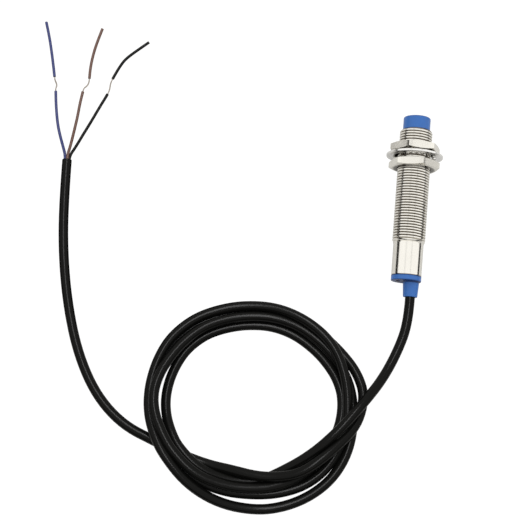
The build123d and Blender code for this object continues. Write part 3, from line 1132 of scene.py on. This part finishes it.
for colour, route in core_routes.items():
    knots = [tuple(Vector(point) * MM) for point in route]
    conductor = add_line(f"{colour}_conductor", knots, CONDUCTOR_RADIUS * MM, tinned_wire)
    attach(conductor, "housing")
    points = spline_points(conductor)
    bare_start = nearest(points, bare_stretches[colour][0])
    bare_end = nearest(points, bare_stretches[colour][1])
    slot = f"{colour}_insulation"
    finish = core_finishes[colour]
    sleeve = add_piece(
        f"{colour}_insulation",
        *tube_mesh(points[: bare_start + 1], CORE_RADIUS * MM, end_rounding=CORE_END_ROUNDING * MM),
        "housing",
        finish,
        slot,
        f"{colour}_core",
    )
    strands = add_piece(
        f"{colour}_bare_strands",
        *strands_mesh(points[bare_start - 1 : bare_end + 2]),
        "housing",
        tinned_wire,
        "tinned_wire",
        f"{colour}_strands",
    )
    tip = add_piece(
        f"{colour}_tip_sleeve",
        *tube_mesh(points[bare_end:], CORE_RADIUS * MM, end_rounding=CORE_END_ROUNDING * MM),
        "housing",
        finish,
        slot,
        f"{colour}_slug",
    )
    dress({f"{colour}_core_end": finish})

# ---------------------------------------------------------------------------------------------
# Studio: a white table under a wide, bright ceiling, with a dark band low on the walls that
# darkens the plated metal's sides.
# ---------------------------------------------------------------------------------------------
TABLE_SIZE = 3.0
CAMERA_TARGET = Vector((-0.05334, -0.02345, 0))
CAMERA_DISTANCE = 0.420
CAMERA_TURN = radians(5.13)
CAMERA_TILT = radians(15)  # from straight down
CAMERA_LENS = 78.12
CARD_HEIGHT = 0.0003
CARD_BACK, CARD_FRONT = -0.07, 0.007
CARD_LEAN = 0.155
TABLE_DROP = 0.0001
TABLE_GLOW = 1.12
GLOW_SEEN, GLOW_ELSEWHERE = 0.76, 0.14
CEILING_START, CEILING_FULL = 0.19, 0.24
CEILING_SIDE_SLANT, CEILING_BACK_SLANT = 0.072, 0.35
CEILING_STRENGTH = 1.15
CEILING_SEAMS = (
    (0.27, 1.0),
    (0.325, 0.78),
    (0.37, 1.0),
    (0.676, 1.0),
    (0.686, 0.25),
    (0.690, 0.25),
    (0.700, 1.0),
)
STRIP_SIZE = (0.12, 0.60)
STRIP_POWER = 5.0

bpy.ops.mesh.primitive_grid_add(
    x_subdivisions=1, y_subdivisions=1, size=TABLE_SIZE, location=(0, 0, -TABLE_DROP)
)
table = bpy.context.object
table.name = "table_top"
table_paint = bpy.data.materials.new("White table")
table_paint.use_nodes = True
nodes = table_paint.node_tree
shader = nodes.nodes["Principled BSDF"]
shader.inputs["Base Color"].default_value = (0.72, 0.715, 0.70, 1)
shader.inputs["Roughness"].default_value = 0.9
shader.inputs["Specular IOR Level"].default_value = 0.0
glow = add_node(nodes, "ShaderNodeEmission", {"Color": (1, 1, 1, 1), "Strength": TABLE_GLOW})
seen = add_node(nodes, "ShaderNodeLightPath")
share = add_node(
    nodes,
    "ShaderNodeMath",
    {0: seen.outputs["Is Camera Ray"], 1: GLOW_SEEN, 2: GLOW_ELSEWHERE},
    operation="MULTIPLY_ADD",
)
surface = add_node(
    nodes, "ShaderNodeMixShader", {0: share.outputs[0], 1: shader.outputs[0], 2: glow.outputs[0]}
)
nodes.links.new(surface.outputs[0], nodes.nodes["Material Output"].inputs["Surface"])
table.data.materials.append(table_paint)

world = bpy.data.worlds.new("Studio")
bpy.context.scene.world = world
world.use_nodes = True
nodes = world.node_tree
background = nodes.nodes["Background"]
direction = add_node(nodes, "ShaderNodeTexCoord").outputs["Generated"]
parts = add_node(nodes, "ShaderNodeSeparateXYZ", {0: direction})
# The bright ceiling ends higher on the left and behind the camera than in front and on the right
lower_left = add_node(
    nodes,
    "ShaderNodeMath",
    {0: parts.outputs["X"], 1: CEILING_SIDE_SLANT, 2: parts.outputs["Z"]},
    operation="MULTIPLY_ADD",
)
slant = add_node(
    nodes,
    "ShaderNodeMath",
    {0: parts.outputs["Y"], 1: CEILING_BACK_SLANT, 2: lower_left.outputs[0]},
    operation="MULTIPLY_ADD",
)
ceiling = add_node(nodes, "ShaderNodeValToRGB", {0: slant.outputs[0]})
ceiling.color_ramp.elements[0].position = CEILING_START
ceiling.color_ramp.elements[0].color = (0.015, 0.013, 0.010, 1)
ceiling.color_ramp.elements[1].position = CEILING_FULL
ceiling.color_ramp.elements[1].color = (1.0, 0.99, 0.96, 1)
# Two seams between the ceiling's panels: a broad pale one, and a narrow dark one on the right
across = add_node(
    nodes, "ShaderNodeMapRange", {"Value": parts.outputs["X"], "From Min": -1.0, "From Max": 1.0}
)
seams = add_node(nodes, "ShaderNodeValToRGB", {0: across.outputs[0]})
seams.color_ramp.elements[0].color = seams.color_ramp.elements[1].color = (1, 1, 1, 1)
for position, level in CEILING_SEAMS:
    seams.color_ramp.elements.new(position).color = (level, level, level, 1)
ceiling = add_node(
    nodes,
    "ShaderNodeMixRGB",
    {0: 1.0, 1: ceiling.outputs[0], 2: seams.outputs[0]},
    blend_type="MULTIPLY",
)
seen = add_node(nodes, "ShaderNodeLightPath")
plain = add_node(
    nodes,
    "ShaderNodeMixRGB",
    {0: seen.outputs["Is Camera Ray"], 1: ceiling.outputs[0], 2: (1, 1, 1, 1)},
)
nodes.links.new(plain.outputs[0], background.inputs["Color"])
background.inputs["Strength"].default_value = CEILING_STRENGTH

# A long panel overhead lights only the cable and its cores, for the line of light along them
strip_data = bpy.data.lights.new("strip_overhead", "AREA")
strip_data.shape = "RECTANGLE"
strip_data.size, strip_data.size_y = STRIP_SIZE
strip_data.energy = STRIP_POWER
strip = bpy.data.objects.new("strip_overhead", strip_data)
strip.location = (-0.05, 0.10, 0.75)
bpy.context.collection.objects.link(strip)
lit_by_strip = bpy.data.collections.new("Lit by the strip")
for piece in bpy.context.scene.objects:
    if piece.name == "cable" or piece.name.endswith(("_insulation", "_tip_sleeve")):
        lit_by_strip.objects.link(piece)
strip.light_linking.receiver_collection = lit_by_strip

# Black cards on the table at both sides, seen only in reflections, draw the plating's dark lines
card_paint = bpy.data.materials.new("Black card")
card_paint.use_nodes = True
shader = card_paint.node_tree.nodes["Principled BSDF"]
shader.inputs["Base Color"].default_value = (0.01, 0.01, 0.01, 1)
shader.inputs["Specular IOR Level"].default_value = 0.0
for name, near, far in (("card_on_the_left", -0.058, -1.4), ("card_on_the_right", 0.043, 1.4)):
    # each runs a little forward as it goes out, so that the nuts' sides miss it
    edges = ((near, CARD_BACK), (near, CARD_FRONT), (far, CARD_FRONT), (far, CARD_BACK))
    corners = [(x, y + CARD_LEAN * abs(x), CARD_HEIGHT) for x, y in edges]
    card_mesh = bpy.data.meshes.new(name)
    card_mesh.from_pydata(corners, [], [(0, 1, 2, 3)])
    card_mesh.materials.append(card_paint)
    card = bpy.data.objects.new(name, card_mesh)
    bpy.context.collection.objects.link(card)
    card.visible_camera = card.visible_diffuse = False
    card.visible_shadow = card.visible_transmission = False

view_up = Vector((-sin(CAMERA_TURN), cos(CAMERA_TURN), 0))
look = view_up * sin(CAMERA_TILT) - Vector((0, 0, cos(CAMERA_TILT)))
camera_data = bpy.data.cameras.new("Camera")
camera_data.lens = CAMERA_LENS
camera = bpy.data.objects.new("Camera", camera_data)
bpy.context.collection.objects.link(camera)
camera.location = CAMERA_TARGET - look * CAMERA_DISTANCE
camera.rotation_euler = look.to_track_quat("-Z", "Y").to_euler()
bpy.context.scene.camera = camera
bpy.context.scene.view_settings.view_transform = "Standard"

bpy.context.view_layer.update()
